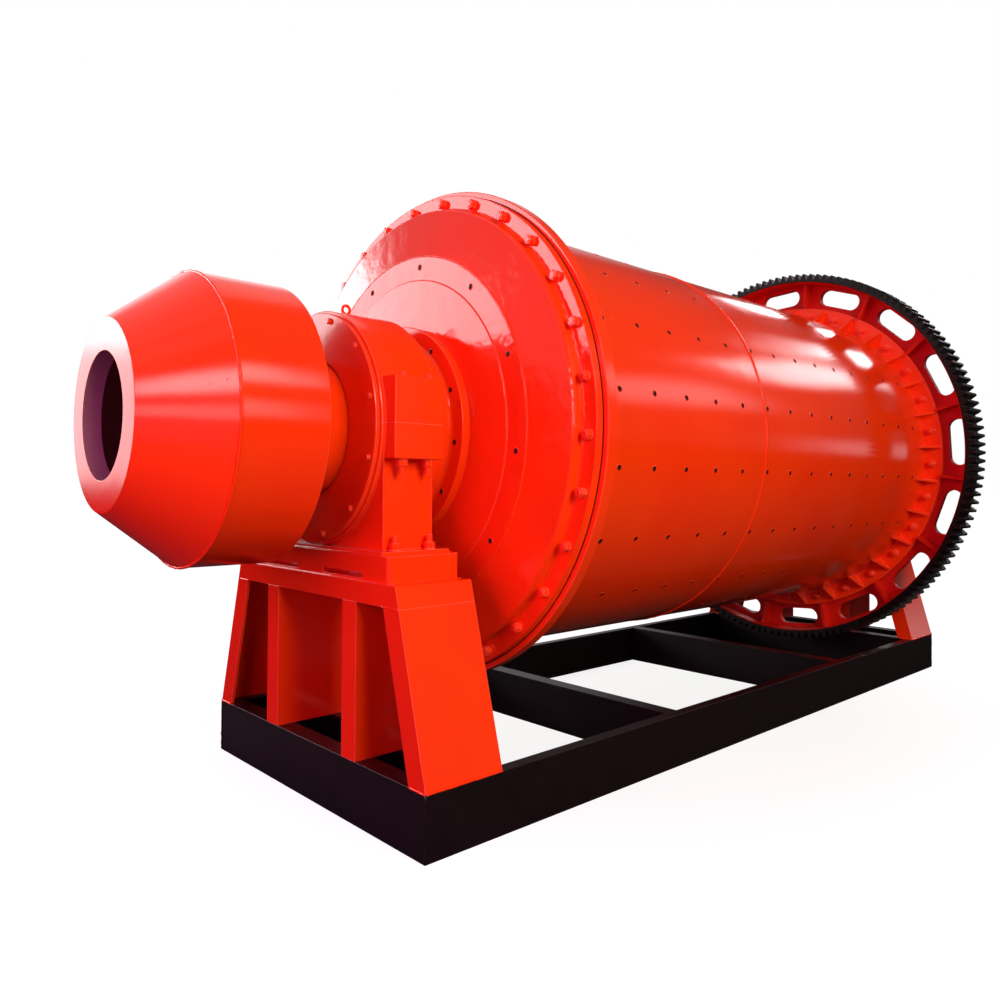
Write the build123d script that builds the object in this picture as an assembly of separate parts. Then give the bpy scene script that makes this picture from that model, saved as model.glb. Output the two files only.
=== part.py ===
from build123d import *
import os
from math import cos, pi, radians, sin, tan

# Trunnion-borne ball mill: a steel drum between two cone-shaped heads, carried by hollow
# trunnions in two split bearings, with a girth gear at the discharge end and a drum feeder at
# the feed end. The bearings sit on two fabricated stands, on a frame of channels.
# Millimetres, +Z up. The mill axis runs along X, feed end at the low X. Stations are counted
# along that axis from the feed end of the shell, and the origin is on the floor under the
# middle of the machine.

# Drum
shell_radius = 933
shell_plate = 20
shell_length = 3151
shell_floor_gap = 491
seam_station = 1226
shell_flange_reach = 102
shell_flange_thickness = 51
edge_bevel = 3

# Heads, one at each end of the shell
head_flange_reach = 78
head_flange_thickness = 35
head_shoulder_proud = 12
head_wall = 42
head_rounding = 12
liner_ring_inset = 199
liner_ring_width = 98
liner_ring_step = 5
step_rounding = 4
feed_head_rise = 133
discharge_head_rise = 98
shoulder_drop = 53
ring_drop = 14
hub_margin = 23
hub_bore_gap = 17

# Trunnions
trunnion_bore = 245
journal_radius = 375
journal_fillet = 20
journal_gap = 0.3
journal_end_inset = 12
trunnion_flange_reach = 70
trunnion_flange_thickness = 35

# Girth flange and girth gear
girth_flange_reach = 99
girth_flange_thickness = 38
girth_gusset_count = 30
girth_gusset_phase = 9.9
girth_gusset_thickness = 12
girth_gusset_foot = 110
girth_gusset_lip = 10
gear_module = 16
gear_pitch_rise = 299
gear_face = 188
gear_addendum = 1.0
gear_dedendum = 1.25
gear_pressure_angle = 20
gear_web_thickness = 40
gear_web_setback = 6
gear_web_lap = 13
gear_rim_thickness = 22
gear_rim_chamfer = 8
gear_hole_count = 16
gear_hole_phase = 19
gear_hole_rim_gap = 24
gear_hole_width = 106
gear_hole_length = 282
gear_rib_thickness = 20
gear_rib_rim_depth = 85
gear_rib_foot_depth = 65
gear_rib_clearance = 4

# Drum feeder and the two necks
feeder_length = 542.5
feeder_cone_length = 243
feeder_radius = 510
feeder_mouth_radius = 319
feeder_bore = 212
feeder_plate = 10
feeder_front_plate = 14
feeder_inlet_depth = 60
feeder_back_recess = 15
feeder_clearance = 213.3
neck_wall = 14
outlet_reach = 60

# Bearings
feed_bearing_clearance = 104
discharge_bearing_clearance = 27
bearing_width = 248
bearing_wall = 81
cover_thickness = 18
cover_inset = 10
cover_gap = 6
bearing_foot_drop = 463
column_inset = 16
column_setback = 18
casting_rounding = 4
lug_reach = 54
lug_setback = 18
lug_rise = 169
lug_drop = 126
pad_height = 12
pad_setback = 8
pad_reach = 61
pad_corner = 10
sole_height = 95
sole_margin = 34
sole_end_margin = 30
sole_corner = 25
sole_slot_inner = 100
sole_slot_outer = 372
sole_slot_height = 19
sole_slot_foot = 9
sole_slot_depth = 60
eye_collar_radius = 20
eye_collar_height = 8
eye_ring_radius = 17
eye_wire_radius = 6

# Bearing stands
stand_ledge = 50
stand_end_ledge = 10
stand_inset = 6
stand_plate = 10
stand_flange_thickness = 14
stand_leg_flange = 93
stand_top_flange = 77
stand_post_flange = 92
stand_top_rounding = 8
near_post_web = -353
far_post_web = 236

# Base frame
frame_half_width = 774
frame_height = 222
girder_flange = 50
beam_flange = 77
frame_web_thickness = 9
frame_flange_thickness = 14
channel_root_radius = 10
feed_cross_beam_station = 826
discharge_cross_beam_inset = 763

# Room by which a cutting or a joining shape passes the face it works on
overrun = 1

# Radii worked out from the sizes above
shell_inner = shell_radius - shell_plate
shell_flange_radius = shell_radius + shell_flange_reach
head_flange_radius = shell_radius + head_flange_reach
head_shoulder_radius = shell_radius + head_shoulder_proud
liner_ring_outer = head_shoulder_radius - liner_ring_inset
liner_ring_inner = liner_ring_outer - liner_ring_width
girth_flange_radius = shell_radius + girth_flange_reach
gear_teeth = round(2 * (shell_radius + gear_pitch_rise) / gear_module)
gear_pitch_radius = gear_module * gear_teeth / 2
gear_tip_radius = gear_pitch_radius + gear_addendum * gear_module
gear_root_radius = gear_pitch_radius - gear_dedendum * gear_module
gear_rim_inner = gear_root_radius - gear_rim_thickness
gear_web_bore = shell_radius - gear_web_lap
gear_hole_radius = gear_rim_inner - gear_hole_rim_gap - gear_hole_width / 2
gear_rib_foot_radius = girth_flange_radius + gear_rib_clearance
trunnion_flange_radius = journal_radius + trunnion_flange_reach
hub_radius = trunnion_flange_radius + hub_margin
hub_bore = trunnion_bore + hub_bore_gap
neck_radius = trunnion_bore + neck_wall
bearing_radius = journal_radius + bearing_wall
cover_radius = bearing_radius - cover_inset

# Breadths and heights
axis_height = shell_radius + shell_floor_gap
column_length = bearing_width - 2 * column_setback
column_half_breadth = bearing_radius - column_inset
lug_length = bearing_width - 2 * lug_setback
lug_half_breadth = bearing_radius + lug_reach
sole_top = axis_height - bearing_foot_drop
sole_length = bearing_width + 2 * sole_end_margin
sole_half_breadth = lug_half_breadth + sole_margin
pad_length = sole_length - 2 * pad_setback
pad_half_breadth = column_half_breadth + pad_reach
stand_top = sole_top - sole_height
stand_depth = sole_length + 2 * stand_end_ledge
stand_top_half = sole_half_breadth + stand_ledge
leg_slope = (frame_half_width - stand_top_half) / (stand_top - frame_height)

# Stations along the mill axis
head_joint = shell_length + gear_web_thickness
half_bearing = bearing_width / 2 + cover_thickness
trunnion_journal_end = bearing_width / 2 - journal_end_inset
feed_bearing_station = -(feed_head_rise + trunnion_flange_thickness
                         + feed_bearing_clearance + half_bearing)
discharge_bearing_station = (head_joint + discharge_head_rise + trunnion_flange_thickness
                             + discharge_bearing_clearance + half_bearing)
feeder_rear_station = feed_bearing_station - half_bearing - feeder_clearance
feeder_front_station = feeder_rear_station - feeder_length
neck_end_station = discharge_bearing_station + half_bearing + outlet_reach
feed_stand_station = feed_bearing_station + stand_inset
discharge_stand_station = discharge_bearing_station - stand_inset
frame_start = feed_stand_station - stand_depth / 2
frame_end = discharge_stand_station + stand_depth / 2
frame_length = frame_end - frame_start
discharge_cross_beam_station = shell_length - discharge_cross_beam_inset
middle_station = (feeder_front_station + neck_end_station) / 2


def turned(*outline):
    """A ring turned about the X axis from (station, radius) points, where a third number is
    the rounding of that corner."""
    section = make_face(Plane.XZ * Polyline(*[corner[:2] for corner in outline], close=True))
    for station, radius, *rounding in outline:
        if rounding:
            corner = section.vertices().sort_by_distance((station, 0, radius))[0]
            section = fillet(corner, rounding[0])
    return revolve(section, Axis.X, 360)


def ring(start, end, outer, inner, bevel=0):
    """A round plate or tube between two stations, its outer edges bevelled."""
    if not bevel:
        return turned((start, inner), (start, outer), (end, outer), (end, inner))
    return turned((start, inner), (start, outer - bevel), (start + bevel, outer),
                  (end - bevel, outer), (end, outer - bevel), (end, inner))


def block(x_range, y_range, z_range):
    """A rectangular block between the given limits."""
    size = [high - low for low, high in (x_range, y_range, z_range)]
    centre = [(high + low) / 2 for low, high in (x_range, y_range, z_range)]
    return Pos(*centre) * Box(*size)


def spoke_places(count, phase):
    """Angles of features spaced evenly around the drum."""
    return [phase + 360 * number / count for number in range(count)]


def around(angle):
    """Turns a feature drawn at the +Y side of the axis to its angle."""
    return Rot(angle, 0, 0)


# Drum pieces, drawn about the X axis and lifted to the axis height at the end

def shell_section(start, end):
    return ring(start, end, shell_radius, shell_inner)


def feed_shell_flange():
    return ring(0, shell_flange_thickness, shell_flange_radius, shell_radius, edge_bevel)


def head(joint, outward, rise):
    """A cone-shaped cast head with its bolting flange, liner bolt ring and hub."""
    def at(distance, *radius_and_rounding):
        return joint + outward * distance, *radius_and_rounding

    shoulder = rise - shoulder_drop
    crown = rise - ring_drop
    rounding = min(head_rounding, (shoulder - head_flange_thickness) / 3)
    return turned(
        at(0, head_flange_radius),
        at(head_flange_thickness, head_flange_radius, edge_bevel),
        at(head_flange_thickness, head_shoulder_radius, rounding),
        at(shoulder, head_shoulder_radius, rounding),
        at(crown - liner_ring_step, liner_ring_outer),
        at(crown, liner_ring_outer, step_rounding),
        at(crown, liner_ring_inner),
        at(crown + liner_ring_step, liner_ring_inner, step_rounding),
        at(rise, hub_radius),
        at(rise, hub_bore),
        at(rise - head_wall, hub_bore),
        at(rise - head_wall, hub_radius),
        at(shoulder - head_wall, shell_inner - head_wall),
        at(0, shell_inner),
    )


def trunnion(joint, outward, rise, bearing):
    """A hollow trunnion: the flange on the head's hub and the journal in the bearing."""
    def at(distance, *radius_and_rounding):
        return joint + outward * distance, *radius_and_rounding

    face = rise + trunnion_flange_thickness
    end = abs(bearing - joint) + trunnion_journal_end
    return turned(
        at(rise, trunnion_bore),
        at(rise, trunnion_flange_radius),
        at(face, trunnion_flange_radius, edge_bevel),
        at(face, journal_radius, journal_fillet),
        at(end, journal_radius),
        at(end, trunnion_bore),
    )


def girth_flange():
    """The ring that carries the gear, with its triangular gussets on the shell."""
    front = shell_length - girth_flange_thickness
    body = ring(front, shell_length, girth_flange_radius, shell_radius, edge_bevel)
    tip = girth_flange_radius - girth_gusset_lip
    start = front - girth_gusset_foot
    web = make_face(Plane.XZ * Polyline(
        (start, shell_inner), (front, shell_inner), (front, tip),
        (front - girth_gusset_lip, tip), (start, shell_radius + girth_gusset_lip), close=True))
    gusset = extrude(web, girth_gusset_thickness / 2, both=True)
    gusset = gusset - ring(start - overrun, front + overrun, shell_radius, 0)
    return body + [around(angle - 90) * gusset
                   for angle in spoke_places(girth_gusset_count, girth_gusset_phase)]


def tooth_points():
    """Corners of all the teeth, with straight flanks either side of the pitch circle."""
    half_pitch = pi / (2 * gear_teeth)
    slope = gear_module * tan(radians(gear_pressure_angle))
    corners = (
        (gear_root_radius, half_pitch + gear_dedendum * slope / gear_root_radius),
        (gear_pitch_radius, half_pitch),
        (gear_tip_radius, half_pitch - gear_addendum * slope / gear_tip_radius))
    points = []
    for number in range(gear_teeth):
        middle = 2 * pi * number / gear_teeth
        outline = [(radius, middle - half) for radius, half in corners]
        outline += [(radius, middle + half) for radius, half in reversed(corners)]
        points += [(radius * cos(angle), radius * sin(angle)) for radius, angle in outline]
    return points


def girth_gear():
    """The one-piece gear: toothed rim, web with oval holes and ribs between the holes."""
    web_front = shell_length
    web_rear = web_front + gear_web_thickness
    rim_rear = web_rear + gear_web_setback
    rim_front = rim_rear - gear_face
    toothed = make_face(Polyline(*tooth_points(), close=True))
    bore = turned((rim_front, 0), (rim_front, gear_rim_inner + gear_rim_chamfer),
                  (rim_front + gear_rim_chamfer, gear_rim_inner),
                  (rim_rear - gear_rim_chamfer, gear_rim_inner),
                  (rim_rear, gear_rim_inner + gear_rim_chamfer), (rim_rear, 0))
    rim = extrude(Plane.YZ.offset(rim_front) * toothed, gear_face) - bore
    web = ring(web_front, web_rear, gear_rim_inner + overrun, gear_web_bore)
    oval = SlotOverall(gear_hole_length, gear_hole_width, rotation=90)
    hole = extrude(Plane.YZ.offset(web_front - overrun) * Pos(gear_hole_radius, 0) * oval,
                   gear_web_thickness + 2 * overrun)
    web = web - [around(angle) * hole for angle in spoke_places(gear_hole_count, gear_hole_phase)]
    rib_side = make_face(Plane.XZ * Polyline(
        (web_front + overrun, gear_rib_foot_radius),
        (web_front - gear_rib_foot_depth, gear_rib_foot_radius),
        (web_front - gear_rib_rim_depth, gear_rim_inner + overrun),
        (web_front + overrun, gear_rim_inner + overrun), close=True))
    rib = extrude(rib_side, gear_rib_thickness / 2, both=True)
    half_step = 180 / gear_hole_count
    ribs = [around(angle + half_step - 90) * rib
            for angle in spoke_places(gear_hole_count, gear_hole_phase)]
    return rim + web + ribs


def feeder_cone():
    """The feeder's mouth: flat ring with the inlet spout, and the cone behind it."""
    front = feeder_front_station
    end = front + feeder_cone_length
    inner_front = front + feeder_front_plate
    spout_end = front + feeder_inlet_depth
    spout_radius = feeder_bore + feeder_plate
    return turned(
        (front, feeder_bore),
        (front, feeder_mouth_radius, edge_bevel),
        (end, feeder_radius),
        (end, feeder_radius - feeder_plate),
        (inner_front, feeder_mouth_radius - feeder_plate),
        (inner_front, spout_radius),
        (spout_end, spout_radius),
        (spout_end, feeder_bore),
    )


def feeder_barrel():
    return ring(feeder_front_station + feeder_cone_length, feeder_rear_station,
                feeder_radius, feeder_radius - feeder_plate)


def feeder_back_plate():
    rear = feeder_rear_station - feeder_back_recess
    return ring(rear - feeder_plate, rear, feeder_radius - feeder_plate, neck_radius)


def feed_neck():
    """The tube from the feeder into the trunnion."""
    start = feeder_rear_station - feeder_back_recess - feeder_plate
    end = feed_bearing_station - trunnion_journal_end
    return ring(start, end, neck_radius, trunnion_bore)


def discharge_neck():
    start = discharge_bearing_station + trunnion_journal_end
    return ring(start, neck_end_station, neck_radius, trunnion_bore, edge_bevel)


# Bearing pieces, drawn about the bearing's own middle on the mill axis

def round_body():
    return ring(-bearing_width / 2, bearing_width / 2, bearing_radius,
                journal_radius + journal_gap, edge_bevel)


def journal_hole():
    return ring(-bearing_width, bearing_width, journal_radius + journal_gap, 0)


def half_space(above):
    reach = 2 * bearing_radius
    heights = (0, reach) if above else (-reach, 0)
    return block((-reach, reach), (-reach, reach), heights)


def bolting_lugs(low, high):
    """The block through the bearing that carries the bolts, rounded away from the split."""
    lugs = block((-lug_length / 2, lug_length / 2), (-lug_half_breadth, lug_half_breadth),
                 (low, high))
    rounded = [edge for edge in lugs.edges() if abs(edge.center().Z) > casting_rounding]
    return fillet(rounded, casting_rounding)


def bearing_housing():
    """The lower half: the saddle, its column and foot pad, and the bolting lugs."""
    foot = sole_top - axis_height
    column = block((-column_length / 2, column_length / 2),
                   (-column_half_breadth, column_half_breadth), (foot, 0))
    column = fillet(column.edges().filter_by(Axis.Z), casting_rounding)
    pad = block((-pad_length / 2, pad_length / 2), (-pad_half_breadth, pad_half_breadth),
                (foot, foot + pad_height))
    pad = fillet(pad.edges().filter_by(Axis.Z), pad_corner)
    stem = column + pad + bolting_lugs(-lug_drop, 0) - journal_hole()
    return (round_body() & half_space(False)) + stem


def bearing_cap():
    """The upper half: a half-round cap with a bolting lug each side."""
    return (round_body() & half_space(True)) + (bolting_lugs(0, lug_rise) - journal_hole())


def bearing_cover(outward, shaft_radius):
    """The flat round cover at one end of a bearing."""
    inner = outward * bearing_width / 2
    outer = inner + outward * cover_thickness
    return ring(min(inner, outer), max(inner, outer), cover_radius,
                shaft_radius + cover_gap, edge_bevel)


def sole_plate():
    """The thick plate on a stand, with two cast slots low in each long face, z from the floor."""
    plate = block((-sole_length / 2, sole_length / 2),
                  (-sole_half_breadth, sole_half_breadth), (0, sole_height))
    plate = fillet(plate.edges().filter_by(Axis.Z), sole_corner)
    plate = chamfer(plate.faces().sort_by(Axis.Z)[-1].edges(), edge_bevel)
    slots = []
    for side in (-1, 1):
        for end in (-1, 1):
            reach = sorted((end * (sole_length / 2 + overrun),
                            end * (sole_length / 2 - sole_slot_depth)))
            span = sorted((side * sole_slot_inner, side * sole_slot_outer))
            slots.append(block(reach, span, (sole_slot_foot, sole_slot_foot + sole_slot_height)))
    return Pos(0, 0, stand_top) * (plate - slots)


def lifting_eye():
    """The ring on the cap's crown, on a collar that follows the cap."""
    collar = Pos(0, 0, bearing_radius) * Cylinder(eye_collar_radius, 2 * eye_collar_height)
    cap = Rot(0, 90, 0) * Cylinder(bearing_radius, bearing_width)
    lift = bearing_radius + eye_collar_height + eye_ring_radius + eye_wire_radius / 2
    return collar - cap + Pos(0, 0, lift) * Rot(90, 0, 0) * Torus(eye_ring_radius, eye_wire_radius)


# Stand pieces, drawn about the middle of the stand with z from the floor

def leg_outer(height):
    """Half-width of the stand at a height."""
    return stand_top_half + leg_slope * (stand_top - height)


def stand_leg(side):
    """An inclined channel, its web outward."""
    low, high = frame_height, stand_top - stand_top_flange

    def slab(thickness):
        return make_face(Plane.YZ * Polyline(
            (side * leg_outer(low), low), (side * leg_outer(high), high),
            (side * (leg_outer(high) - thickness), high),
            (side * (leg_outer(low) - thickness), low), close=True))

    web = extrude(slab(stand_plate), stand_depth / 2, both=True)
    flange = extrude(slab(stand_leg_flange), stand_flange_thickness / 2, both=True)
    place = (stand_depth - stand_flange_thickness) / 2
    return web + Pos(-place, 0, 0) * flange + Pos(place, 0, 0) * flange


def stand_head():
    """The channel across the top, its web up and its ends closed along the legs' slope."""
    low = stand_top - stand_top_flange
    outline = [(-leg_outer(low), low), (-stand_top_half, stand_top),
               (stand_top_half, stand_top), (leg_outer(low), low)]
    solid = extrude(make_face(Plane.YZ * Polyline(*outline, close=True)), stand_depth / 2,
                    both=True)
    ends = solid.edges().filter_by(Axis.X).group_by(Axis.Z)[-1]
    solid = fillet(ends, stand_top_rounding)
    ceiling = stand_top - stand_plate
    inside = [(-leg_outer(low) + stand_plate, low), (-leg_outer(ceiling) + stand_plate, ceiling),
              (leg_outer(ceiling) - stand_plate, ceiling), (leg_outer(low) - stand_plate, low)]
    hollow = extrude(make_face(Plane.YZ * Polyline(*inside, close=True)),
                     stand_depth / 2 - stand_flange_thickness, both=True)
    return solid - hollow


def stand_post(web_place):
    """An upright channel, its web on the near side."""
    low, high = frame_height, stand_top - stand_top_flange
    web = block((-stand_depth / 2, stand_depth / 2), (web_place, web_place + stand_plate),
                (low, high))
    front = block((-stand_depth / 2, -stand_depth / 2 + stand_flange_thickness),
                  (web_place, web_place + stand_post_flange), (low, high))
    rear = mirror(front, Plane.YZ)
    return web + front + rear


# Frame pieces, with stations along X and z from the floor

def channel(length, flange):
    """A rolled channel along X from the origin, its web on the low Y side."""
    under = frame_height - frame_flange_thickness
    outline = [(0, 0), (flange, 0), (flange, frame_flange_thickness),
               (frame_web_thickness, frame_flange_thickness), (frame_web_thickness, under),
               (flange, under), (flange, frame_height), (0, frame_height)]
    section = make_face(Plane.YZ * Polyline(*outline, close=True))
    for height in (frame_flange_thickness, under):
        root = section.vertices().sort_by_distance((0, frame_web_thickness, height))[0]
        section = fillet(root, channel_root_radius)
    return extrude(section, length)


def mitred_channel(length, flange, other_flange):
    """A channel cut at 45 degrees at its ends, as deep as it meets the other flange."""
    lap = min(flange, other_flange)
    reach = flange + overrun
    corner = [(-overrun, -overrun), (lap, lap), (lap, reach), (-overrun, reach)]
    cut = extrude(make_face(Polyline(*corner, close=True)), frame_height)
    return channel(length, flange) - cut - mirror(cut, Plane.YZ.offset(length / 2))


def long_girder(side):
    beam = mitred_channel(frame_length, girder_flange, beam_flange)
    beam = Pos(frame_start, -frame_half_width, 0) * beam
    return beam if side < 0 else mirror(beam, Plane.XZ)


def end_beam(end):
    """A beam across an end of the frame, its web outward."""
    beam = mitred_channel(2 * frame_half_width, beam_flange, girder_flange)
    beam = Pos(frame_start, frame_half_width, 0) * Rot(0, 0, -90) * beam
    middle = (frame_start + frame_end) / 2
    return beam if end < 0 else mirror(beam, Plane.YZ.offset(middle))


def cross_beam(rear, facing):
    """A beam between the long girders' webs, notched round their flanges."""
    inner = frame_half_width - frame_web_thickness
    beam = Pos(-beam_flange, inner, 0) * Rot(0, 0, -90) * channel(2 * inner, beam_flange)
    cuts = []
    for side in (-1, 1):
        for heights in ((0, frame_flange_thickness + channel_root_radius),
                        (frame_height - frame_flange_thickness - channel_root_radius,
                         frame_height)):
            span = sorted((side * (frame_half_width - girder_flange), side * frame_half_width))
            cuts.append(block((-beam_flange - overrun, overrun), span, heights))
    beam = beam - cuts
    if facing > 0:
        beam = mirror(beam, Plane.YZ.offset(-beam_flange / 2))
    return Pos(rear, 0, 0) * beam


def build():
    """Every piece under its name, in stations, with drum pieces lifted to the axis."""
    drum = {
        "shell_feed_section": shell_section(0, seam_station),
        "shell_discharge_section": shell_section(seam_station, shell_length),
        "feed_shell_flange": feed_shell_flange(),
        "feed_head": head(0, -1, feed_head_rise),
        "discharge_head": head(head_joint, 1, discharge_head_rise),
        "feed_trunnion": trunnion(0, -1, feed_head_rise, feed_bearing_station),
        "discharge_trunnion": trunnion(head_joint, 1, discharge_head_rise,
                                       discharge_bearing_station),
        "girth_flange": girth_flange(),
        "girth_gear": girth_gear(),
        "feeder_cone": feeder_cone(),
        "feeder_barrel": feeder_barrel(),
        "feeder_back_plate": feeder_back_plate(),
        "feed_neck": feed_neck(),
        "discharge_neck": discharge_neck(),
    }
    pieces = {name: Pos(0, 0, axis_height) * solid for name, solid in drum.items()}
    for end, station, stand_station, outward in (
            ("feed", feed_bearing_station, feed_stand_station, -1),
            ("discharge", discharge_bearing_station, discharge_stand_station, 1)):
        on_axis = Pos(station, 0, axis_height)
        on_floor = Pos(stand_station, 0, 0)
        pieces[end + "_bearing_housing"] = on_axis * bearing_housing()
        pieces[end + "_bearing_cap"] = on_axis * bearing_cap()
        pieces[end + "_outer_cover"] = on_axis * bearing_cover(outward, neck_radius)
        pieces[end + "_inner_cover"] = on_axis * bearing_cover(-outward, journal_radius)
        pieces[end + "_sole_plate"] = on_floor * sole_plate()
        pieces[end + "_lifting_eye"] = on_axis * lifting_eye()
        pieces[end + "_stand_head"] = on_floor * stand_head()
        pieces[end + "_stand_near_leg"] = on_floor * stand_leg(-1)
        pieces[end + "_stand_far_leg"] = on_floor * stand_leg(1)
        pieces[end + "_stand_near_post"] = on_floor * stand_post(near_post_web)
        pieces[end + "_stand_far_post"] = on_floor * stand_post(far_post_web)
    pieces["near_long_girder"] = long_girder(-1)
    pieces["far_long_girder"] = long_girder(1)
    pieces["feed_end_beam"] = end_beam(-1)
    pieces["discharge_end_beam"] = end_beam(1)
    pieces["feed_stand_beam"] = cross_beam(frame_start + stand_depth, 1)
    pieces["discharge_stand_beam"] = cross_beam(frame_end - stand_depth + beam_flange, -1)
    pieces["feed_cross_beam"] = cross_beam(feed_cross_beam_station, -1)
    pieces["discharge_cross_beam"] = cross_beam(discharge_cross_beam_station, -1)
    return {name: Pos(-middle_station, 0, 0) * solid for name, solid in pieces.items()}


os.makedirs("parts", exist_ok=True)
for name, solid in build().items():
    solid.label = name
    export_step(solid, f"parts/{name}.step")
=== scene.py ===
# %% [markdown]
# # Dressing a ball mill
#
# The steelwork of this mill is already modelled in CAD: drum, heads, girth gear, bearings,
# stands and frame. What is left is what a fitter, a painter and a photographer would add:
# bolts, liner bolt holes and weld beads, then enamel, grease and black frame paint, and
# last a studio and a camera. The cells below do that one thing at a time.

# %% The tools and the frame
from math import cos, pi, radians, sin

import bmesh
import bpy
from mathutils import Matrix, Vector, noise


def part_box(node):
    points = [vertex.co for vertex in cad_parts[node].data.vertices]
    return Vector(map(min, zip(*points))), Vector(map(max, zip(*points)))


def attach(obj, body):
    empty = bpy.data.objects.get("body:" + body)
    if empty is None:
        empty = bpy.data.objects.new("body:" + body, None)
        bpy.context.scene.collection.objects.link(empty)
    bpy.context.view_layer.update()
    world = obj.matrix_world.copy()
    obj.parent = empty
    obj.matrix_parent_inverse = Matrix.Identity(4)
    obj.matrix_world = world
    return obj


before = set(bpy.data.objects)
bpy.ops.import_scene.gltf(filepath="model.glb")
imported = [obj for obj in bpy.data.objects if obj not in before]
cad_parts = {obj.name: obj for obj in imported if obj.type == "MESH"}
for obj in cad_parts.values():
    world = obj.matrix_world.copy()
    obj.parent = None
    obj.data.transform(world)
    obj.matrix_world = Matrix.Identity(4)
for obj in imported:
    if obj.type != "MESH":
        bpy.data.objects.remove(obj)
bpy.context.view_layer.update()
print("pieces in the frame:", len(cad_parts))

# %% [markdown]
# ## Places on the machine
#
# The mill is measured in stations, millimetres along its axis from the feed end of the shell,
# because that is how a fitter reads a drawing of it. Blender wants metres from the middle of
# the machine. The station of the middle and the height of the axis are read off the CAD
# pieces, and small functions translate, so every later number is a drawing size.

# %% Stations
middle_station = round(-1000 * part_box("shell_feed_section")[0].x, 1)
axis_height = round(sum(corner.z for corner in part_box("feed_trunnion")) / 2, 3)


def along(station):
    """The X of a station, in metres."""
    return (station - middle_station) / 1000


def station_on(node, share):
    """A CAD piece's station to the millimetre: 0 is its feed side, 1 its discharge side."""
    low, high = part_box(node)
    return round(middle_station + 1000 * (low.x + share * (high.x - low.x)))


shell_end = station_on("shell_discharge_section", 1)
shell_seam = station_on("shell_feed_section", 1)
shell_flange_back = station_on("feed_shell_flange", 1)
head_joint = station_on("discharge_head", 0)
print("axis at", axis_height, "m, shell from x =", along(0), "to", round(along(shell_end), 4))

# %% [markdown]
# A bolt is modelled once, standing on its own Z, so it needs a matrix for each place. On a
# flat face across the axis its Z lies along the axis. On the shell its Z points outwards.


# %% Placing parts round the axis
def spot(station, y, z):
    """A point given by its station, its distance from the middle plane and its height."""
    return Vector((along(station), y / 1000, z / 1000))


def round_the_axis(station, radius, angle):
    """A place at a radius from the axis, turned from the +Y side towards the top."""
    return (Matrix.Translation((along(station), 0, axis_height))
            @ Matrix.Rotation(radians(angle), 4, "X")
            @ Matrix.Translation((0, radius / 1000, 0)))


def on_face(station, radius, angle, facing):
    """Where a part stands on a flat face across the axis. Facing is -1 or 1 along X."""
    return round_the_axis(station, radius, angle) @ Matrix.Rotation(radians(90 * facing), 4, "Y")


def on_shell(station, radius, angle):
    """Where a part stands on a round surface."""
    return round_the_axis(station, radius, angle) @ Matrix.Rotation(radians(-90), 4, "X")


def spaced(count, phase):
    """Evenly spaced angles round the axis."""
    return [phase + 360 * number / count for number in range(count)]


print("angles of a ring of four:", spaced(4, 0))

# %% [markdown]
# ## Paint and metal
#
# Colours are written as the hex values a paint chart would give and turned to linear light
# by one function. Another adds a node with its settings and links, so that a material reads
# as a list of what goes into what.


# %% Colour and node helpers
def linear(hex_colour):
    """A hex colour as linear RGBA."""
    channels = [int(hex_colour[i:i + 2], 16) / 255 for i in (1, 3, 5)]
    return [c / 12.92 if c <= 0.04045 else ((c + 0.055) / 1.055) ** 2.4 for c in channels] + [1]


def add(tree, kind, inputs=None, **settings):
    """Adds a node. An input is a value, or another node's output to link."""
    made = tree.nodes.new(kind)
    for name, value in settings.items():
        setattr(made, name, value)
    for socket, value in (inputs or {}).items():
        if isinstance(value, bpy.types.NodeSocket):
            tree.links.new(value, made.inputs[socket])
        else:
            made.inputs[socket].default_value = value
    return made


def new_material(name):
    """An empty material and its node tree."""
    material = bpy.data.materials.new(name)
    material.use_nodes = True
    material.node_tree.nodes.clear()
    return material, material.node_tree


print("mid grey in linear light:", round(linear("#808080")[0], 3))

# %% [markdown]
# Every edge of the real mill shows as a thin light line, a highlight. A Bevel node gives the
# normal that a rounded edge would have, so light catches the edge. The light line itself is a
# painted highlight: where that normal leaves the plain one by 14 degrees, the colour starts to go
# over to a paler one. At 41 degrees it is seven tenths of the way there. Inner corners get the
# same painted highlight as outer edges.

# %% Painted edge highlights
edge_line_mm = 3


def painted_edge_highlights(tree, colour, highlight_colour):
    """Rounds the edges for the light and paints a pale highlight on them. Returns the normal and
    the colour.
    """
    rounded = add(tree, "ShaderNodeBevel", {"Radius": edge_line_mm / 1000}, samples=4).outputs[0]
    plain = add(tree, "ShaderNodeNewGeometry").outputs["Normal"]
    agreement = add(tree, "ShaderNodeVectorMath", {0: rounded, 1: plain},
                    operation="DOT_PRODUCT")
    at_edge = add(tree, "ShaderNodeMapRange", {
        0: agreement.outputs["Value"], 1: 0.97, 2: 0.75, 3: 0.0, 4: 0.7})  # cosines
    highlighted = add(tree, "ShaderNodeMix", {
        0: at_edge.outputs[0], 6: colour, 7: linear(highlight_colour)}, data_type="RGBA")
    return rounded, highlighted.outputs[2]


print("edge lines are", edge_line_mm, "mm wide")

# %% [markdown]
# The inside of the feeder and of the necks has only a dull primer. It could be split off as
# faces with a material of their own, but the CAD pieces stay as they are, so a mask picks
# the surfaces instead: those that look towards the axis, and the walls across the axis that
# lie deeper than the feeder's mouth.

# %% Inner surfaces
feeder_front = station_on("feeder_cone", 0)
mouth_depth = 22


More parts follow.
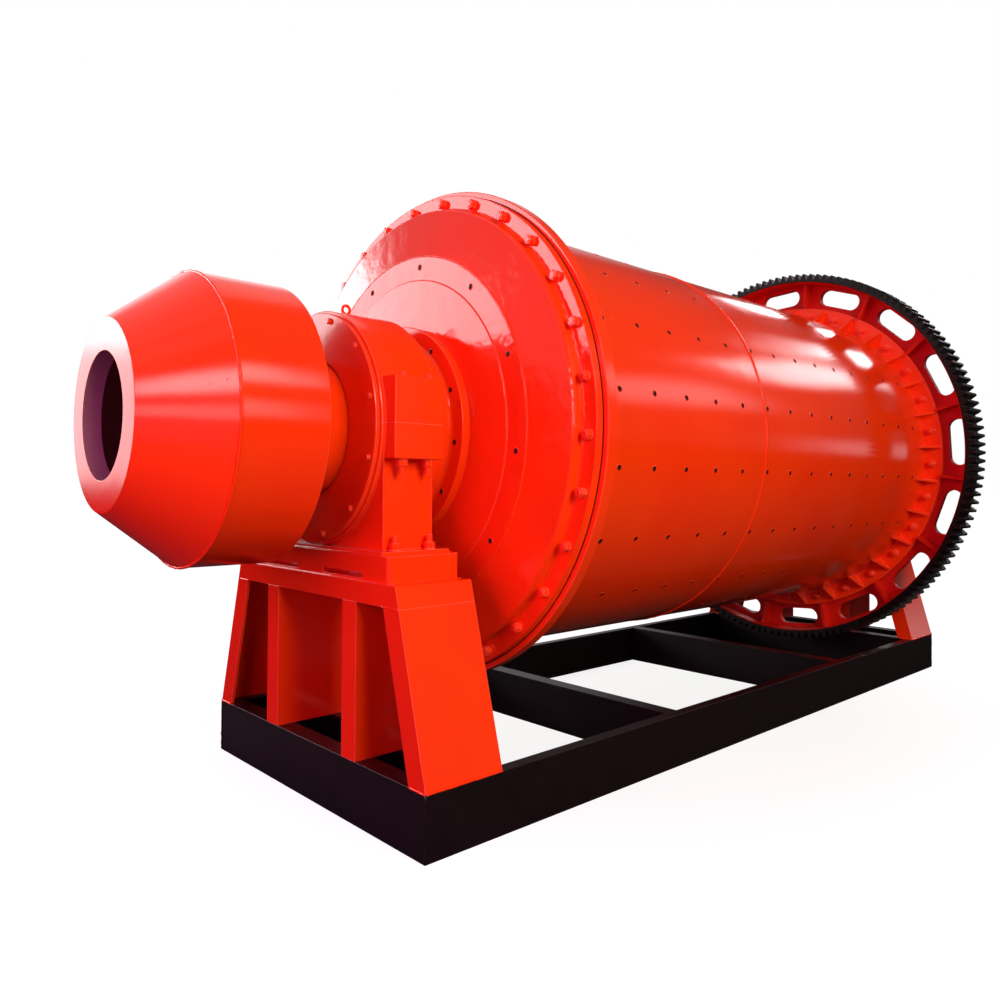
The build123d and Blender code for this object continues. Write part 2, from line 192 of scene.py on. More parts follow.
def inner_surfaces(tree, place):
    """A mask that is 1 on the inner surfaces of a tube round the axis."""
    where = place.outputs["Object"]
    normal = place.outputs["Normal"]
    from_axis = add(tree, "ShaderNodeVectorMath", {
        0: where, 1: (0, 0, axis_height)}, operation="SUBTRACT")
    outwards = add(tree, "ShaderNodeVectorMath", {
        0: from_axis.outputs[0], 1: (0, 1, 1)}, operation="MULTIPLY")
    facing = add(tree, "ShaderNodeVectorMath", {
        0: outwards.outputs[0], 1: normal}, operation="DOT_PRODUCT")
    inwards = add(tree, "ShaderNodeMath", {
        0: facing.outputs["Value"], 1: -0.05}, operation="LESS_THAN")
    forwards = add(tree, "ShaderNodeMath", {
        0: add(tree, "ShaderNodeSeparateXYZ", {0: normal}).outputs[0], 1: -0.9},
        operation="LESS_THAN")
    behind_mouth = add(tree, "ShaderNodeMath", {
        0: add(tree, "ShaderNodeSeparateXYZ", {0: where}).outputs[0],
        1: along(feeder_front + mouth_depth)}, operation="GREATER_THAN")
    end_wall = add(tree, "ShaderNodeMath", {
        0: forwards.outputs[0], 1: behind_mouth.outputs[0]}, operation="MULTIPLY")
    return add(tree, "ShaderNodeMath", {
        0: inwards.outputs[0], 1: end_wall.outputs[0]}, operation="MAXIMUM").outputs[0]


print("primer starts", mouth_depth, "mm behind the mouth at station", feeder_front)

# %% [markdown]
# The mill is sprayed with gloss alkyd enamel, an orange red. Three things show on the real
# one. The colour deepens a little from one pass of the spray gun to the next, about half a
# metre wide. The surface has the low waves of rolled plate or the finer skin of a casting.
# Dust nibs under the gloss catch the light as specks: a real nib is a tenth of a millimetre,
# these are drawn coarser, as they would be too fine to show from three metres away. Alkyd
# gloss has the usual IOR of 1.5 and a low roughness.

# %% Gloss red enamel
PAINT = "#FB3E08"
PAINT_DEEP = "#F02C0A"
PAINT_EDGE_HIGHLIGHT = "#FF9C86"
PRIMER = "#A87E70"
spray_pass_mm = 1000 / 2.2
nib_spacing_mm = 45
nib_height_mm = 1.2


def red_enamel(name, wave_mm, wave_height_mm, roughness, primed=False):
    """Gloss enamel over plate or casting, with primer on the inner surfaces if primed."""
    material, tree = new_material(name)
    place = add(tree, "ShaderNodeTexCoord")
    where = place.outputs["Object"]
    drift = add(tree, "ShaderNodeTexNoise", {
        "Vector": where, "Scale": 1000 / spray_pass_mm, "Detail": 3.0}).outputs["Fac"]
    colour = add(tree, "ShaderNodeMix", {
        0: drift, 6: linear(PAINT), 7: linear(PAINT_DEEP)}, data_type="RGBA").outputs[2]
    gloss = add(tree, "ShaderNodeMapRange", {
        0: drift, 3: roughness * 0.8, 4: roughness * 1.3}).outputs[0]
    if primed:
        inside = inner_surfaces(tree, place)
        colour = add(tree, "ShaderNodeMix", {
            0: inside, 6: colour, 7: linear(PRIMER)}, data_type="RGBA").outputs[2]
        gloss = add(tree, "ShaderNodeMix", {0: inside, 2: gloss, 3: 0.7}).outputs[0]
    # every edge gets a painted highlight, paler than the enamel
    rounded, colour = painted_edge_highlights(tree, colour, PAINT_EDGE_HIGHLIGHT)
    waves = add(tree, "ShaderNodeTexNoise", {
        "Vector": where, "Scale": 1000 / wave_mm, "Detail": 2.0})
    wavy = add(tree, "ShaderNodeBump", {
        "Height": waves.outputs["Fac"], "Distance": wave_height_mm / 1000, "Normal": rounded})
    nib_cells = add(tree, "ShaderNodeTexVoronoi", {
        "Vector": where, "Scale": 1000 / nib_spacing_mm})
    nibs = add(tree, "ShaderNodeMapRange", {
        0: nib_cells.outputs["Distance"], 1: 0.035, 2: 0.06, 3: 1.0, 4: 0.0})
    specked = add(tree, "ShaderNodeBump", {
        "Height": nibs.outputs[0], "Distance": nib_height_mm / 1000,
        "Normal": wavy.outputs[0]})
    enamel = add(tree, "ShaderNodeBsdfPrincipled", {
        "Base Color": colour, "Roughness": gloss, "Normal": specked.outputs[0]})
    add(tree, "ShaderNodeOutputMaterial", {"Surface": enamel.outputs[0]})
    return material


plate_enamel = red_enamel("plate_enamel", 320, 1.4, 0.13)
cast_enamel = red_enamel("cast_enamel", 30, 0.35, 0.15)
head_enamel = red_enamel("head_enamel", 75, 2.6, 0.12)
feeder_enamel = red_enamel("feeder_enamel", 180, 1.0, 0.14, primed=True)
print("enamels:", [made.name for made in (plate_enamel, cast_enamel, head_enamel, feeder_enamel)])

# %% [markdown]
# The base frame is black oil paint over mill scale, thin and a little dusty on top. The dust
# lies in clouds of about 11 cm, and the scale gives the paint a skin of 17 mm flakes, coarser
# than real so that it shows. Its edges get a grey painted highlight.

# %% Black frame paint
FRAME_BLACK = "#090407"
FRAME_DUSTY = "#180C10"
FRAME_EDGE_HIGHLIGHT = "#5C4E54"
dust_cloud_mm = 1000 / 9
scale_flake_mm = 1000 / 60
frame_paint, tree = new_material("frame_paint")
where = add(tree, "ShaderNodeTexCoord").outputs["Object"]
dust = add(tree, "ShaderNodeTexNoise", {
    "Vector": where, "Scale": 1000 / dust_cloud_mm, "Detail": 6.0})
colour = add(tree, "ShaderNodeMix", {
    0: dust.outputs["Fac"], 6: linear(FRAME_BLACK), 7: linear(FRAME_DUSTY)},
    data_type="RGBA").outputs[2]
# the frame's edges get a grey painted highlight
rounded, colour = painted_edge_highlights(tree, colour, FRAME_EDGE_HIGHLIGHT)
flakes = add(tree, "ShaderNodeTexNoise", {
    "Vector": where, "Scale": 1000 / scale_flake_mm, "Detail": 4.0})
skin = add(tree, "ShaderNodeBump", {
    "Height": flakes.outputs["Fac"], "Distance": 0.0006, "Normal": rounded})
paint = add(tree, "ShaderNodeBsdfPrincipled", {
    "Base Color": colour, "Roughness": 0.36, "Normal": skin.outputs[0]})
add(tree, "ShaderNodeOutputMaterial", {"Surface": paint.outputs[0]})
print("frame paint nodes:", len(tree.nodes))

# %% [markdown]
# The girth gear is one casting with two finishes. Its web and ribs are sprayed red, and this red
# is deeper than the enamel's as painted shade, because the web is lit less. Its teeth and rim are
# left bare and greased. A mask on the distance from the mill axis separates them, so the finish
# stays on the metal when the drum turns. The grease is black brown, with a dull shine, and lies
# in patches of 7 cm.

# %% Greased gear
# painted shade: both gear reds are darker than the enamel because the web is lit less
GEAR_RED_SHADED = "#DC2210"
GEAR_RED_DEEP_SHADED = "#B8140E"
GREASE = "#080606"
GREASE_THIN = "#1A1312"
grease_start = 1.192
grease_full = 1.196
grease_patch_mm = 1000 / 14
gear_finish, tree = new_material("greased_gear")
where = add(tree, "ShaderNodeTexCoord").outputs["Object"]
from_axis = add(tree, "ShaderNodeVectorMath", {
    0: where, 1: (0, 0, axis_height)}, operation="SUBTRACT")
across = add(tree, "ShaderNodeVectorMath", {
    0: from_axis.outputs[0], 1: (0, 1, 1)}, operation="MULTIPLY")
distance = add(tree, "ShaderNodeVectorMath", {0: across.outputs[0]}, operation="LENGTH")
greased = add(tree, "ShaderNodeMapRange", {
    0: distance.outputs["Value"], 1: grease_start, 2: grease_full})
patches = add(tree, "ShaderNodeTexNoise", {
    "Vector": where, "Scale": 1000 / grease_patch_mm, "Detail": 5.0}).outputs["Fac"]
red = add(tree, "ShaderNodeMix", {
    0: patches, 6: linear(GEAR_RED_SHADED), 7: linear(GEAR_RED_DEEP_SHADED)}, data_type="RGBA")
grease = add(tree, "ShaderNodeMix", {
    0: patches, 6: linear(GREASE), 7: linear(GREASE_THIN)}, data_type="RGBA")
colour = add(tree, "ShaderNodeMix", {
    0: greased.outputs[0], 6: red.outputs[2], 7: grease.outputs[2]}, data_type="RGBA")
skin = add(tree, "ShaderNodeBump", {"Height": patches, "Distance": 0.0015})
iron = add(tree, "ShaderNodeBsdfPrincipled", {
    "Base Color": colour.outputs[2], "Roughness": 0.42, "Normal": skin.outputs[0],
    "Specular IOR Level": 0.25})
add(tree, "ShaderNodeOutputMaterial", {"Surface": iron.outputs[0]})
print("grease from", grease_start, "m outwards")

# %% [markdown]
# A drilled hole shows as a dark spot, because no light gets into it, so the spot is painted
# shade in a brown black. The same painted shade draws the shadow gap between the flanges.

# %% Painted shade of a drilled hole
painted_shade_dark, tree = new_material("painted_shade_dark")
dark = add(tree, "ShaderNodeBsdfPrincipled", {
    "Base Color": linear("#2A0A10"), "Roughness": 0.8})
add(tree, "ShaderNodeOutputMaterial", {"Surface": dark.outputs[0]})
print("materials made:", len(bpy.data.materials))

# %% [markdown]
# Each CAD piece gets its finish by what it is: channels of the base are black, the gear is
# greased, heads, trunnions and bearings are castings, and the rest is plate. The material
# goes into the object's own slots, so the CAD mesh stays as it came.

# %% Finishes on the CAD pieces
cast_words = ("head", "trunnion", "bearing", "sole", "cover", "eye")
for name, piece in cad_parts.items():
    if name.endswith(("girder", "beam")):
        finish = frame_paint
    elif name == "girth_gear":
        finish = gear_finish
    elif "feeder" in name or "neck" in name:
        finish = feeder_enamel
    elif name in ("feed_head", "discharge_head"):
        finish = head_enamel
    elif any(word in name for word in cast_words) and "stand" not in name:
        finish = cast_enamel
    else:
        finish = plate_enamel
    for slot in piece.material_slots:
        slot.material = finish
print("finished", len(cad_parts), "CAD pieces")

# %% [markdown]
# ## Bolts, holes and beads
#
# A mill has a few kinds of fastener, each many times. One of each kind is modelled at the
# origin, standing on its own Z, and copied to its places on the drawing. Every group is one
# piece that rides on the drum or stays on the base.


# %% Making pieces
def template_from(bm, name):
    """Keeps a bmesh as a mesh to copy from."""
    mesh = bpy.data.meshes.new(name)
    bm.to_mesh(mesh)
    bm.free()
    return mesh


def copies(template, places):
    """A bmesh with the template at each place."""
    bm = bmesh.new()
    for place in places:
        first = len(bm.verts)
        bm.from_mesh(template)
        bm.verts.ensure_lookup_table()
        bmesh.ops.transform(bm, matrix=place, verts=bm.verts[first:])
    return bm


def piece_from(bm, name, body, *finishes):
    """Turns a bmesh into a piece that rides on a body of the mill."""
    bmesh.ops.recalc_face_normals(bm, faces=bm.faces)
    mesh = bpy.data.meshes.new(name)
    bm.to_mesh(mesh)
    bm.free()
    piece = bpy.data.objects.new(name, mesh)
    bpy.context.scene.collection.objects.link(piece)
    for finish in finishes:
        mesh.materials.append(finish)
    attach(piece, body)
    print(name, len(mesh.polygons), "faces")
    return piece


# %% [markdown]
# A hex head is a six-sided cylinder with its top edge chamfered. On a real bolt it sits on a
# washer, and behind a nut the thread stands out a little. The edges to chamfer are found by
# their height, because bevel takes edges and not faces.

# %% The hex bolt
washer_high = 3


def edges_of(made):
    """The edges of what a create operator has just made."""
    return {edge for vert in made["verts"] for edge in vert.link_edges}


def hex_bolt(name, across, high, washer, thread, proud):
    """A hex head or nut on a washer, with a thread end standing proud of it. In mm."""
    bm = bmesh.new()
    bmesh.ops.create_cone(bm, cap_ends=True, segments=24, radius1=washer / 2000,
                          radius2=washer / 2000, depth=washer_high / 1000,
                          matrix=Matrix.Translation((0, 0, washer_high / 2000)))
    corner = across / 2000 / cos(radians(30))
    middle = (washer_high + high / 2) / 1000
    top = (washer_high + high) / 1000
    head = bmesh.ops.create_cone(bm, cap_ends=True, segments=6, radius1=corner,
                                 radius2=corner, depth=high / 1000,
                                 matrix=Matrix.Translation((0, 0, middle)))
    rim = [edge for edge in edges_of(head)
           if all(abs(vert.co.z - top) < 1e-6 for vert in edge.verts)]
    bmesh.ops.bevel(bm, geom=rim, offset=across / 12000, segments=2, profile=0.5,
                    affect="EDGES", material=-1)
    if proud:
        bmesh.ops.create_cone(bm, cap_ends=True, segments=16, radius1=thread / 2000,
                              radius2=thread / 2200, depth=proud / 1000,
                              matrix=Matrix.Translation((0, 0, top + proud / 2000)))
    return template_from(bm, name)


flange_bolt = hex_bolt("flange_bolt", across=36, high=20, washer=40, thread=24, proud=3)
flange_nut = hex_bolt("flange_nut", across=36, high=22, washer=44, thread=24, proud=14)
cover_bolt = hex_bolt("cover_bolt", across=19, high=9, washer=24, thread=12, proud=0)
lug_nut = hex_bolt("lug_nut", across=36, high=24, washer=44, thread=24, proud=26)
lug_head = hex_bolt("lug_head", across=24, high=8, washer=28, thread=16, proud=3)
print("a flange bolt has", len(flange_bolt.polygons), "faces")

# %% [markdown]
# Thirty bolts hold each head. At the feed end they go through the head flange and the shell
# flange, at the discharge end through head, gear web and girth flange, with the nuts on the
# shell's side. The gussets of the girth flange stand between those nuts.

# %% Flange bolts
head_flange = 35
girth_flange = 38
flange_bolt_circle = 977
bolts_a_flange = 30
feed_phase = 2.3
discharge_phase = 3.9
for name, template, station, facing, phase in (
        ("feed_flange_bolts", flange_bolt, -head_flange, -1, feed_phase),
        ("feed_flange_nuts", flange_nut, shell_flange_back, 1, feed_phase),
        ("girth_flange_nuts", flange_nut, shell_end - girth_flange, -1, discharge_phase),
        ("discharge_flange_bolts", flange_bolt, head_joint + head_flange, 1, discharge_phase)):
    places = [on_face(station, flange_bolt_circle, angle, facing)
              for angle in spaced(bolts_a_flange, phase)]
    piece_from(copies(template, places), name, "drum", cast_enamel)

# %% [markdown]
# Twelve small bolts hold the outer cover of each bearing. Four long studs clamp each cap:
# their ends show on top of the lugs and their nuts below. Four more bolts hold the foot of
# the bearing to the sole plate.

# %% Cover, lug and foot bolts
bearings = [station_on(end + "_bearing_housing", 0.5) for end in ("feed", "discharge")]
cover_faces = ((station_on("feed_outer_cover", 0), -1), (station_on("discharge_outer_cover", 1), 1))
cover_bolt_circle = 418
cover_angles = spaced(12, 17)
places = [on_face(station, cover_bolt_circle, angle, facing)
          for station, facing in cover_faces for angle in cover_angles]
piece_from(copies(cover_bolt, places), "cover_bolts", "base", cast_enamel)

lug_top, lug_bottom, pad_top = 1593, 1298, 973
lug_bolt_y, lug_bolt_step = 482, 57
foot_bolt_y, foot_bolt_step = 471, 74.1
corners = [(bearing, side, end) for bearing in bearings for side in (-1, 1) for end in (-1, 1)]
upside_down = Matrix.Rotation(radians(180), 4, "X")
heads = [Matrix.Translation(spot(bearing + end * lug_bolt_step, side * lug_bolt_y, lug_top))
         for bearing, side, end in corners]
nuts = [Matrix.Translation(spot(bearing + end * lug_bolt_step, side * lug_bolt_y, lug_bottom))
        @ upside_down for bearing, side, end in corners]
feet = [Matrix.Translation(spot(bearing + end * foot_bolt_step, side * foot_bolt_y, pad_top))
        for bearing, side, end in corners]
piece_from(copies(lug_head, heads), "lug_bolt_heads", "base", cast_enamel)
piece_from(copies(lug_nut, nuts), "lug_bolt_nuts", "base", cast_enamel)
piece_from(copies(lug_nut, feet), "foot_bolts", "base", cast_enamel)

# %% [markdown]
# The shell is drilled for its liner bolts: twenty rows of fourteen holes, 211 mm apart.
# Cutting them would need a boolean for each. A dark disc a hair above the plate, painted shade as
# dark as the inside of a hole, looks the same, and a small raised lip round it catches the light
# as the real drilled edge does. The holes in the heads and in the trunnion flanges look the same
# from here.

# %% Drilled holes
disc_lift_mm = 0.7


def hole(name, width, lip=3, high=1.6):
    """A dark spot of painted shade with a raised lip round it, in mm."""
    bm = bmesh.new()
    bmesh.ops.create_cone(bm, cap_ends=False, segments=20, radius1=width / 2000 + lip / 1000,
                          radius2=width / 2000, depth=high / 1000,
                          matrix=Matrix.Translation((0, 0, high / 2000)))
    disc = bmesh.ops.create_circle(bm, cap_ends=True, segments=20, radius=width / 2000,
                                   matrix=Matrix.Translation((0, 0, disc_lift_mm / 1000)))
    # the disc takes the second material: painted shade, dark as the inside of a hole
    for face in {face for vert in disc["verts"] for face in vert.link_faces}:
        face.material_index = 1
    return template_from(bm, name)


liner_hole = hole("liner_hole", 21)
shell_radius = 933
first_hole, hole_pitch, holes_a_row = 192, 211, 14
row_angles = spaced(20, 9.1)
places = [on_shell(first_hole + hole_pitch * number, shell_radius, angle)
          for number in range(holes_a_row) for angle in row_angles]
piece_from(copies(liner_hole, places), "shell_liner_holes", "drum", plate_enamel, painted_shade_dark)

# %% [markdown]
# Each head rises to a raised ring with twelve holes, and the trunnion flange bolted to the
# head has twelve more. The discharge head is flatter than the feed head, which leaves room
# for the gear.

# %% Holes in the heads
feed_rise, discharge_rise = 133, 98
ring_drop = 14
trunnion_flange = 35
ring_circle, trunnion_circle = 701, 400
ring_crowns = ((-(feed_rise - ring_drop), -1), (head_joint + discharge_rise - ring_drop, 1))
trunnion_faces = ((-(feed_rise + trunnion_flange), -1),
                  (head_joint + discharge_rise + trunnion_flange, 1))
places = [on_face(station, ring_circle, angle, facing)
          for station, facing in ring_crowns for angle in spaced(12, 7.5)]
places += [on_face(station, trunnion_circle, angle, facing)
           for station, facing in trunnion_faces for angle in spaced(12, 7.4)]
piece_from(copies(liner_hole, places), "head_bolt_holes", "drum", cast_enamel, painted_shade_dark)

# %% [markdown]
# Weld beads are narrow and uneven, and the enamel over them glints. A round bead is a small
# circle spun about the mill axis, a straight one a thin cylinder cut into short lengths.
# Both are then pushed about by noise at the size of a weld ripple, 9 mm.

# %% Weld bead helpers
ripple_mm = 9
bead_step_mm = 14


def uneven(bm, height_mm):
    """Pushes every vertex along its normal by a smooth noise."""
    bm.normal_update()
    for face in bm.faces:
        face.smooth = True
    for vert in bm.verts:
        wander = noise.noise(vert.co * 1000 / ripple_mm)
        vert.co += vert.normal * wander * height_mm / 1000


def ring_bead(bm, station, radius, width):
    """A bead round the drum."""
    quarter = radians(90)
    across_bead = (Matrix.Rotation(quarter, 4, "X") @ Matrix.Rotation(quarter, 4, "Y")
                   @ Matrix.Rotation(quarter, 4, "X"))
    start = bmesh.ops.create_circle(
        bm, segments=6, radius=width / 2000,
        matrix=Matrix.Translation(spot(station, radius, 1000 * axis_height)) @ across_bead)
    bmesh.ops.spin(bm, geom=start["verts"] + list(edges_of(start)), cent=(0, 0, axis_height),
                   axis=(1, 0, 0), angle=2 * pi, steps=round(2 * pi * radius / bead_step_mm),
                   use_merge=True)


def straight_bead(bm, start, end, width):
    """A bead from one point to another."""
    run = end - start
    turned = run.to_track_quat("Z", "Y").to_matrix().to_4x4()
    made = bmesh.ops.create_cone(bm, cap_ends=True, segments=6, radius1=width / 2000,
                                 radius2=width / 2000, depth=run.length,
                                 matrix=Matrix.Translation((start + end) / 2) @ turned)
    lengthwise = [edge for edge in edges_of(made) if edge.calc_length() > 0.9 * run.length]
    bmesh.ops.subdivide_edges(bm, edges=lengthwise,
                              cuts=max(2, round(1000 * run.length / bead_step_mm)))


print("weld ripple:", ripple_mm, "mm")

# %% [markdown]
# The drum is welded where its two shell plates meet, behind the shell flange, round the steps
# of the heads and along the edges of the feeder.

# %% Weld beads on the drum
cone_end = station_on("feeder_barrel", 0)
feeder_rear = station_on("feeder_barrel", 1)
feeder_radius, mouth_radius, ring_foot_radius = 510, 319, 747
bm = bmesh.new()
ring_bead(bm, shell_seam, shell_radius - 1, 14)
ring_bead(bm, shell_flange_back + 1, shell_radius + 2, 8)
ring_bead(bm, cone_end, feeder_radius - 2, 12)
ring_bead(bm, feeder_front + 4, mouth_radius - 1, 5)
for station, facing in ring_crowns:
    ring_bead(bm, station - 4 * facing, ring_foot_radius, 9)
ring_bead(bm, feeder_rear - 1, feeder_radius - 6, 6)
uneven(bm, 2.2)
piece_from(bm, "drum_weld_beads", "drum", plate_enamel)

# %% [markdown]
# Between each head flange and what it is bolted to lies a narrow gap in shade. A thin ring of
# painted shade round the joint draws it as a dark line.

# %% Painted shade in the flange joints
head_flange_radius = 1012
bm = bmesh.new()
# thin dark rings of painted shade where the flanges meet
ring_bead(bm, -1, head_flange_radius, 4)
ring_bead(bm, head_joint + 1, head_flange_radius, 4)
piece_from(bm, "flange_joint_shade", "drum", painted_shade_dark)

# %% [markdown]
# The stands are channels welded together and to the frame. Their beads show as light lines
# at the feet and heads of the legs, along the edges of the sole plate, and down the corners
# of the bearing columns.

# %% Weld beads on the stands and bearings
stands = [station_on(end + "_stand_head", 0.5) for end in ("feed", "discharge")]
frame_top, stand_top, sole_top = 222, 866, 961
leg_edge, column_edge = 163, 105
leg_foot, leg_head, leg_head_height = (773, 684), (604, 512), 789
column_y, foot_y, stand_head_y, sole_y = 439, 774, 543, 500
bm = bmesh.new()
for bearing, stand in zip(bearings, stands):
    for side in (-1, 1):
        for end in (-1, 1):
            column = bearing + end * column_edge
            edge = stand + end * leg_edge
            for x, outer, inner, low, high, width in (
                    (column, column_y, column_y, pad_top + 2, lug_bottom - 2, 7),
                    (edge, *leg_foot, frame_top, frame_top, 9),
                    (edge, *leg_head, leg_head_height, leg_head_height, 7)):
                straight_bead(bm, spot(x, side * outer, low), spot(x, side * inner, high), width)
        for y, z, first, last, width in (
                (foot_y, frame_top + 1, -leg_edge, leg_edge, 11),
                (stand_head_y, stand_top + 1, -150, 150, 6),
                (sole_y, sole_top + 1, -140, 130, 6)):
            straight_bead(bm, spot(stand + first, side * y, z), spot(stand + last, side * y, z),
                          width)
    for end in (-1, 1):
        for x, y, z, width in ((bearing + end * 146, sole_y, sole_top, 6),
                               (stand + end * 154, stand_head_y, stand_top, 5)):
            straight_bead(bm, spot(x, -y, z), spot(x, y, z), width)
uneven(bm, 2.0)
piece_from(bm, "base_weld_beads", "base", plate_enamel)

# %% [markdown]
# The four corners of the black frame are mitred: a bead runs up each corner and on over the
# mitre in the top flange.

# %% Weld beads on the black frame
frame_ends = ((station_on("feed_end_beam", 0), 1), (station_on("discharge_end_beam", 1), -1))
frame_side = 774
mitre_shown = 50
bm = bmesh.new()
for end, inwards in frame_ends:
    for side in (-1, 1):
        straight_bead(bm, spot(end, side * (frame_side - 1), 4),
                      spot(end, side * (frame_side - 1), frame_top - 4), 7)
        straight_bead(bm, spot(end, side * frame_side, frame_top),
                      spot(end + inwards * mitre_shown, side * (frame_side - mitre_shown),
                           frame_top), 6)
uneven(bm, 2.0)
piece_from(bm, "frame_weld_beads", "base", frame_paint)

# %% [markdown]
# ## The studio
#
# A pale floor, a white background that costs no light, and soft lamps. The world is white
# for the camera. Gloss needs something to show, so for glossy rays the world is a works hall
# instead: dim, with openings and windows as soft-edged rectangles, each given by a compass
# turn and an elevation in degrees. All other rays see a plain fill.

# %% Openings of the hall
world = bpy.data.worlds.new("studio")
bpy.context.scene.world = world
world.use_nodes = True
world.node_tree.nodes.clear()
tree = world.node_tree
look = add(tree, "ShaderNodeSeparateXYZ", {
    0: add(tree, "ShaderNodeTexCoord").outputs["Generated"]})
compass = add(tree, "ShaderNodeMath", {0: look.outputs[1], 1: look.outputs[0]},
              operation="ARCTAN2").outputs[0]


def between(value, low, high, soft):
    """1 where a value lies between two limits, with soft borders."""
    rising = add(tree, "ShaderNodeMapRange", {0: value, 1: low - soft, 2: low + soft})
    falling = add(tree, "ShaderNodeMapRange", {
        0: value, 1: high - soft, 2: high + soft, 3: 1, 4: 0})
    return add(tree, "ShaderNodeMath", {0: rising.outputs[0], 1: falling.outputs[0]},
               operation="MULTIPLY").outputs[0]


def opening(turn, rise, soft, strength):
    """A bright opening. Turn 0 looks along +X and 90 along +Y."""
    across = between(compass, radians(turn[0]), radians(turn[1]), radians(soft))
    upright = between(look.outputs[2], sin(radians(rise[0])), sin(radians(rise[1])),
                      sin(radians(soft)))
    both = add(tree, "ShaderNodeMath", {0: across, 1: upright}, operation="MULTIPLY").outputs[0]
    return add(tree, "ShaderNodeMath", {0: both, 1: strength}, operation="MULTIPLY").outputs[0]


openings = (
    ((98, 141), (9.2, 22.5), 1.2, 6.0),  # the open side of the hall
    ((98, 112), (-2, 28), 3.0, 2.0),  # its gate, down to the ground
    ((36, 180), (4, 68), 5.0, 0.45),  # pale wall on the far side
    ((58, 96), (8, 34), 5.0, 0.7),  # brighter part of that wall
    ((-180, -160), (6, 60), 5.0, 0.4),  # pale wall beyond the feed end
    ((-76, -57), (26, 38), 2.0, 5.5),  # upper window on the near side
    ((-72, -62), (2, 13), 1.5, 2.6),  # lower window on the near side
    ((-153, -136), (17, 30), 2.5, 7.5),  # upper window near the feed end
    ((-156, -136), (-2, 8), 2.0, 2.4),  # lower window near the feed end
    ((-40, -28), (14, 22), 2.0, 1.9),  # four windows towards the discharge end
    ((-21, -9), (21.5, 28), 1.2, 5.6),
    ((-9, 2), (26, 31), 1.5, 1.8),
    ((-27, -20), (0, 4.5), 1.5, 1.1),
    ((-3, 4), (24, 27.5), 0.7, 10.0),  # three roof lights beyond the discharge end
    ((10, 16.5), (21.5, 25), 0.7, 10.0),
    ((18.5, 24), (23, 27), 0.7, 10.0))
hall_light = 0.08
for turn, rise, soft, strength in openings:
    hall_light = add(tree, "ShaderNodeMath", {
        0: hall_light, 1: opening(turn, rise, soft, strength)}).outputs[0]
print("hall with", len(openings), "openings")

# %% [markdown]
# Light Path tells which ray is asking. The camera, and a ray that goes through something
# clear, see white. A glossy ray sees the hall. What is left lights the mill as a weak fill.

# %% World
rays = add(tree, "ShaderNodeLightPath")
white = add(tree, "ShaderNodeBackground", {"Color": (1, 1, 1, 1), "Strength": 1.0})
hall = add(tree, "ShaderNodeBackground", {"Color": (1, 0.93, 0.95, 1), "Strength": hall_light})
fill = add(tree, "ShaderNodeBackground", {"Color": (1, 0.6, 0.9, 1), "Strength": 0.14})
in_gloss = add(tree, "ShaderNodeMixShader", {
    0: rays.outputs["Is Glossy Ray"], 1: fill.outputs[0], 2: hall.outputs[0]})
seen = add(tree, "ShaderNodeMath", {
    0: rays.outputs["Is Camera Ray"], 1: rays.outputs["Is Transmission Ray"]},
    operation="MAXIMUM")
sky = add(tree, "ShaderNodeMixShader", {
    0: seen.outputs[0], 1: in_gloss.outputs[0], 2: white.outputs[0]})
add(tree, "ShaderNodeOutputWorld", {"Surface": sky.outputs[0]})
print("world nodes:", len(tree.nodes))

# %% [markdown]
# The floor is pale concrete. Near the mill it shows the mill's soft shadow, farther out it
# goes over into the white of the background, so no horizon line is left. To all rays but the
# camera's it is a dim floor, because a white one would light the mill from below.

# %% Floor
shadow_reach, white_reach = 1.2, 3.0
floor_bm = bmesh.new()
bmesh.ops.create_grid(floor_bm, x_segments=1, y_segments=1, size=400)
floor = bpy.data.objects.new("floor", template_from(floor_bm, "floor"))
bpy.context.scene.collection.objects.link(floor)
floor_finish, tree = new_material("pale_concrete")
rays = add(tree, "ShaderNodeLightPath")
where = add(tree, "ShaderNodeTexCoord").outputs["Object"]
reach = add(tree, "ShaderNodeVectorMath", {0: where}, operation="LENGTH")
brightness = add(tree, "ShaderNodeMapRange", {
    0: reach.outputs["Value"], 1: shadow_reach, 2: white_reach, 3: 0.85, 4: 1.0})
glow = add(tree, "ShaderNodeEmission", {"Strength": brightness.outputs[0]})
matt = add(tree, "ShaderNodeBsdfDiffuse", {"Color": (0.2, 0.2, 0.2, 1)})
lit = add(tree, "ShaderNodeAddShader", {0: matt.outputs[0], 1: glow.outputs[0]})
dim = add(tree, "ShaderNodeBsdfDiffuse", {"Color": (0.06, 0.05, 0.05, 1)})
surface = add(tree, "ShaderNodeMixShader", {
    0: rays.outputs["Is Camera Ray"], 1: dim.outputs[0], 2: lit.outputs[0]})
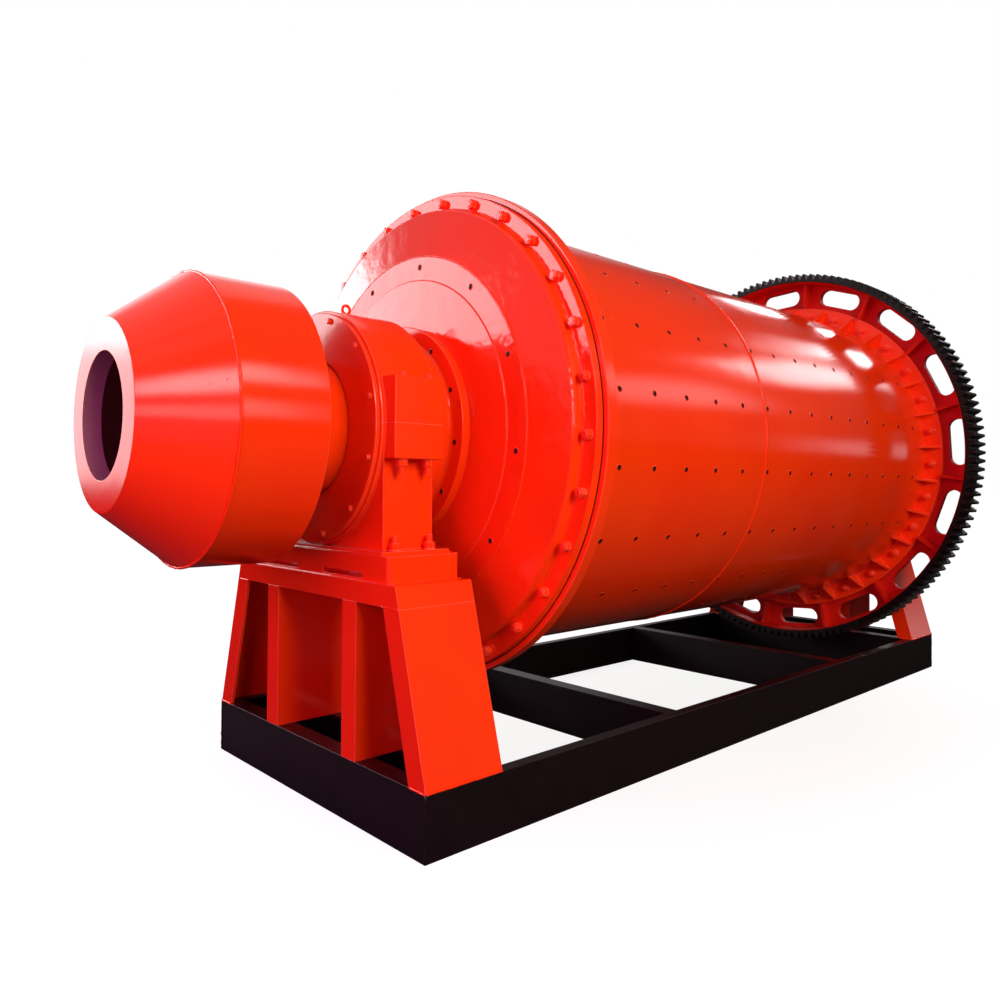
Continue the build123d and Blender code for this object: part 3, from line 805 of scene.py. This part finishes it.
add(tree, "ShaderNodeOutputMaterial", {"Surface": surface.outputs[0]})
floor.data.materials.append(floor_finish)
print("floor is white from", white_reach, "m outwards")

# %% [markdown]
# Three soft lamps. The near one stands low on the near side and is warm, the one beyond the
# feed end turns the faces there crimson, as on the real mill, and a weak one hangs over the
# far side. They don't show in the gloss, where the hall's windows do.


# %% Lamps
def soft_lamp(name, place, target, size, watts, colour):
    """A square soft lamp that looks at a point and doesn't show in gloss."""
    data = bpy.data.lights.new(name, "AREA")
    data.size = size
    data.energy = watts
    data.color = colour
    lamp = bpy.data.objects.new(name, data)
    lamp.location = place
    lamp.rotation_euler = (Vector(target) - Vector(place)).to_track_quat("-Z", "Y").to_euler()
    lamp.visible_glossy = False
    bpy.context.scene.collection.objects.link(lamp)


soft_lamp("near_lamp", (-1.8, -6.4, 3.4), (-3.2, 0, 1.0), 3.0, 385, (1, 1.0, 0.7))
soft_lamp("feed_end_lamp", (-6.8, -1.4, 1.9), (-1.5, 0, 0.6), 4.6, 275, (0.97, 0.16, 1))
soft_lamp("roof_lamp", (0.0, 3.0, 7.0), (0.0, 0, 1.0), 4.0, 220, (1, 0.85, 0.9))
print("lamps:", len(bpy.data.lights))

# %% [markdown]
# ## The camera
#
# Solved from the photograph: a wide lens close to the feed end, level, with a small shift.
# The three rows are the camera's right, up and forward directions.

# %% Camera
right = Vector((0.72271953, -0.6911063, 0.00696887))
up = Vector((-0.01489491, -0.00549388, 0.99987397))
forward = Vector((0.69098091, 0.72273225, 0.0142645))
camera_place = spot(-2118.1, -2859.0, 1205.2)
camera_data = bpy.data.cameras.new("camera")
camera_data.lens = 29.1085
camera_data.sensor_width = 36
camera_data.shift_x = -0.029818
camera_data.shift_y = -0.025599
camera = bpy.data.objects.new("camera", camera_data)
turned = Matrix((right, up, -forward)).transposed().to_4x4()
camera.matrix_world = Matrix.Translation(camera_place) @ turned
bpy.context.scene.collection.objects.link(camera)
bpy.context.scene.camera = camera
bpy.context.scene.view_settings.view_transform = "Standard"
print("camera at", [round(value, 3) for value in camera_place])
